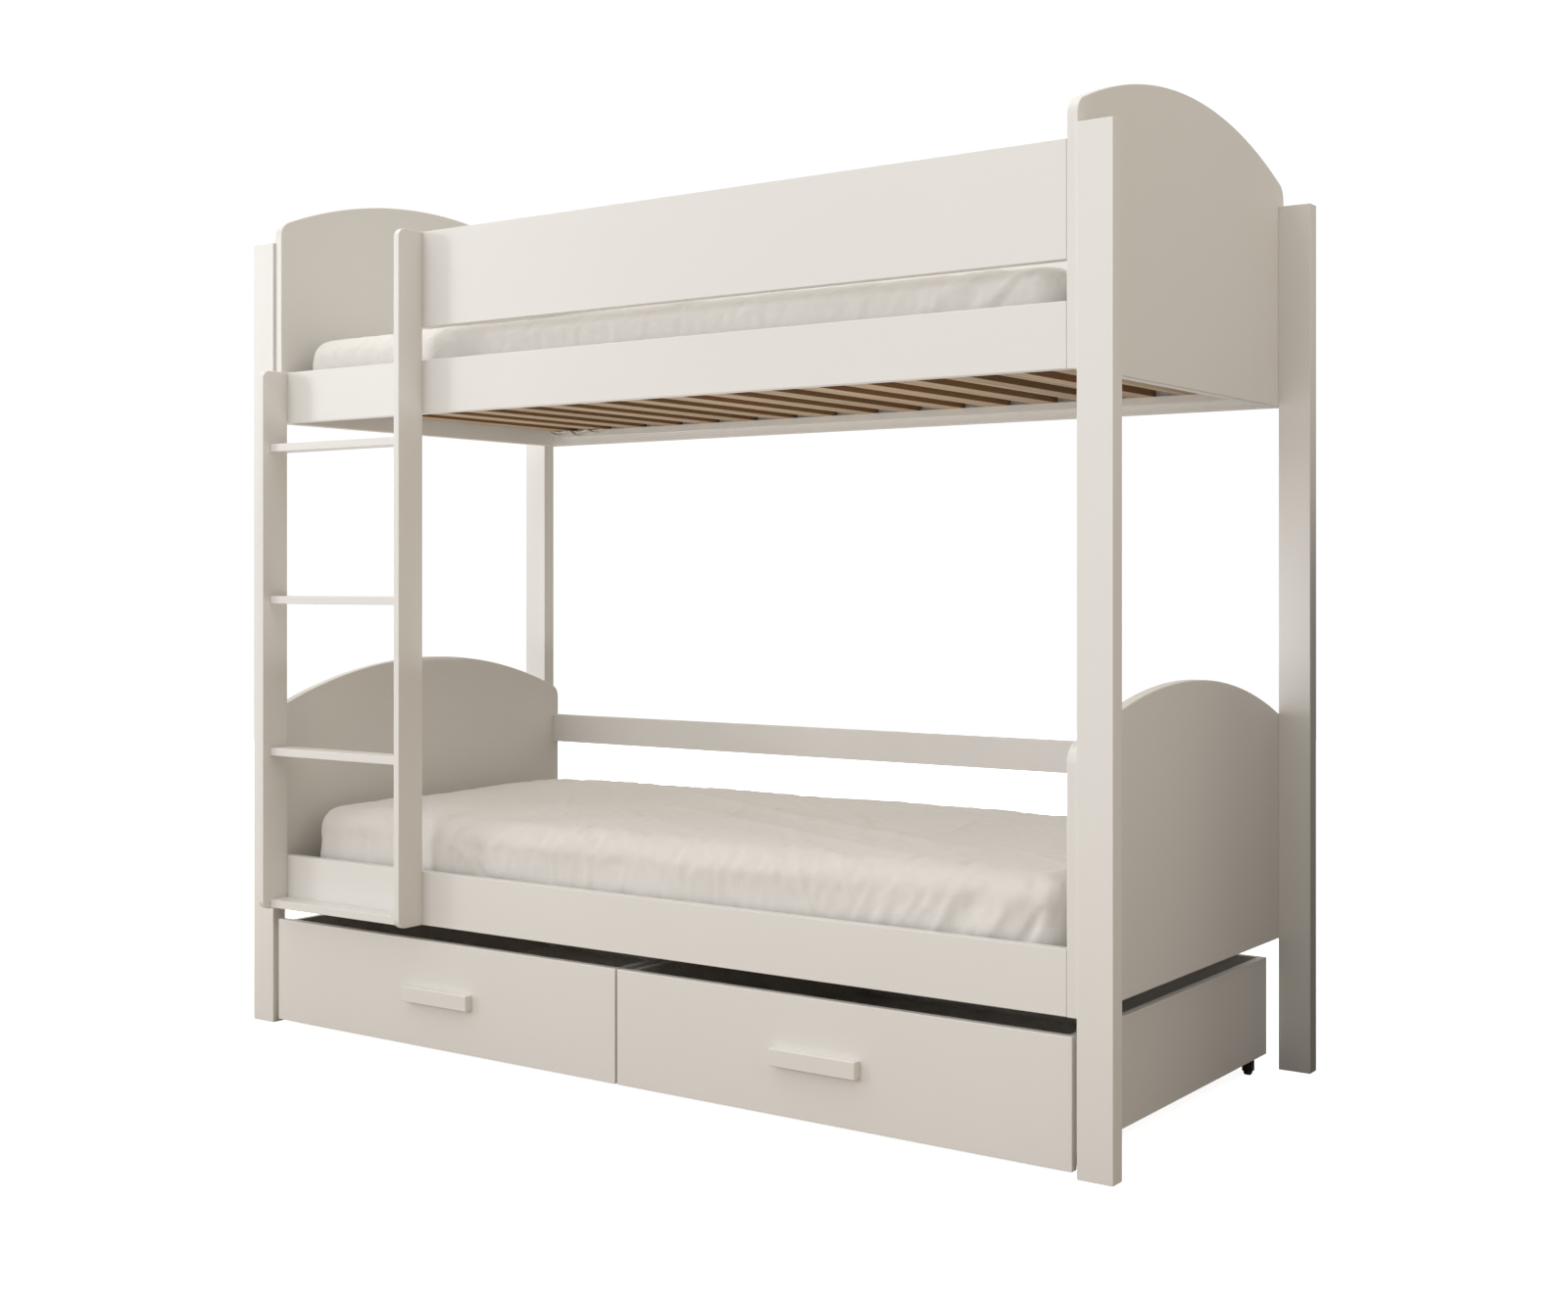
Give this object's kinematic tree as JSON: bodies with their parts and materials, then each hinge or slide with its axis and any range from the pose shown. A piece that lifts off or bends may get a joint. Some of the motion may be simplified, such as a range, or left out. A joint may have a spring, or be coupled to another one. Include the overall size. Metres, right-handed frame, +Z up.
{
  "type": "bunk bed",
  "caption": "Painted wooden bunk bed with arched end panels, slatted bases with mattresses, guard boards, a straight ladder at one end and rolling under-bed drawers.",
  "frame": {"origin": "on the floor, under the middle of the bed's bounding box, ladder included", "axes": "+X along the bed to the end away from the ladder, +Y from the ladder side to the rear, +Z up"},
  "size_m": [2.19, 1.024, 1.9389],
  "materials": {
    "white_lacquer": "satin off-white lacquer on board",
    "slat_wood": "planed, lightly sealed softwood",
    "dowel_wood": "fluted beech, unfinished",
    "mattress_cover": "plain-woven off-white cotton cover over foam",
    "webbing": "woven polyester tape",
    "black_plastic": "moulded black nylon",
    "steel": "zinc-plated steel"
  },
  "bodies": {
    "bed_frame": {"cam_locks": "steel", "cam_screws": "steel", "frame_dowels": "dowel_wood", "guard_board_front": "white_lacquer", "guard_board_rear": "white_lacquer", "ladder_rung_1": "white_lacquer", "ladder_rung_2": "white_lacquer", "ladder_rung_3": "white_lacquer", "ladder_rung_4": "white_lacquer", "ladder_screws": "steel", "ladder_stringer_left": "white_lacquer", "ladder_stringer_right": "white_lacquer", "ledger_screws": "steel", "lower_back_rail": "white_lacquer", "lower_end_panel_left": "white_lacquer", "lower_end_panel_right": "white_lacquer", "lower_ledger_front": "white_lacquer", "lower_ledger_rear": "white_lacquer", "lower_mattress": "mattress_cover", "lower_rail_front": "white_lacquer", "lower_rail_rear": "white_lacquer", "lower_slat_tapes": "webbing", "lower_slats": "slat_wood", "post_front_left": "white_lacquer", "post_front_right": "white_lacquer", "post_rear_left": "white_lacquer", "post_rear_right": "white_lacquer", "upper_end_panel_left": "white_lacquer", "upper_end_panel_right": "white_lacquer", "upper_ledger_front": "white_lacquer", "upper_ledger_rear": "white_lacquer", "upper_mattress": "mattress_cover", "upper_rail_front": "white_lacquer", "upper_rail_rear": "white_lacquer", "upper_slat_tapes": "webbing", "upper_slats": "slat_wood"},
    "drawer_left": {"drawer_left_back": "white_lacquer", "drawer_left_bottom": "white_lacquer", "drawer_left_caster_axles": "steel", "drawer_left_caster_brackets": "black_plastic", "drawer_left_dowels": "dowel_wood", "drawer_left_front": "white_lacquer", "drawer_left_handle": "white_lacquer", "drawer_left_handle_screws": "steel", "drawer_left_side_left": "white_lacquer", "drawer_left_side_right": "white_lacquer"},
    "drawer_left_wheels_front": {"drawer_left_wheels_front": "black_plastic"},
    "drawer_left_wheels_rear": {"drawer_left_wheels_rear": "black_plastic"},
    "drawer_right": {"drawer_right_back": "white_lacquer", "drawer_right_bottom": "white_lacquer", "drawer_right_caster_axles": "steel", "drawer_right_caster_brackets": "black_plastic", "drawer_right_dowels": "dowel_wood", "drawer_right_front": "white_lacquer", "drawer_right_handle": "white_lacquer", "drawer_right_handle_screws": "steel", "drawer_right_side_left": "white_lacquer", "drawer_right_side_right": "white_lacquer"},
    "drawer_right_wheels_front": {"drawer_right_wheels_front": "black_plastic"},
    "drawer_right_wheels_rear": {"drawer_right_wheels_rear": "black_plastic"}
  },
  "joints": [
    {"name": "drawer_left_slide", "type": "slide", "parent": "bed_frame", "child": "drawer_left", "axis": [0, -1, 0], "range_m": [0, 0.9]},
    {"name": "drawer_left_wheels_front_roll", "type": "hinge", "parent": "drawer_left", "child": "drawer_left_wheels_front", "pos_m": [-0.509, -0.372, 0.014], "axis": [1, 0, 0], "continuous": true},
    {"name": "drawer_left_wheels_rear_roll", "type": "hinge", "parent": "drawer_left", "child": "drawer_left_wheels_rear", "pos_m": [-0.509, 0.398, 0.014], "axis": [1, 0, 0], "continuous": true},
    {"name": "drawer_right_slide", "type": "slide", "parent": "bed_frame", "child": "drawer_right", "axis": [0, -1, 0], "range_m": [0, 0.9]},
    {"name": "drawer_right_wheels_front_roll", "type": "hinge", "parent": "drawer_right", "child": "drawer_right_wheels_front", "pos_m": [0.509, -0.372, 0.014], "axis": [1, 0, 0], "continuous": true},
    {"name": "drawer_right_wheels_rear_roll", "type": "hinge", "parent": "drawer_right", "child": "drawer_right_wheels_rear", "pos_m": [0.509, 0.398, 0.014], "axis": [1, 0, 0], "continuous": true}
  ],
  "couplings": [
    {"joint": "drawer_left_wheels_front_roll", "follows": "drawer_left_slide", "rad_per_m": 71.429},
    {"joint": "drawer_left_wheels_rear_roll", "follows": "drawer_left_slide", "rad_per_m": 71.429},
    {"joint": "drawer_right_wheels_front_roll", "follows": "drawer_right_slide", "rad_per_m": 71.429},
    {"joint": "drawer_right_wheels_rear_roll", "follows": "drawer_right_slide", "rad_per_m": 71.429}
  ]
}
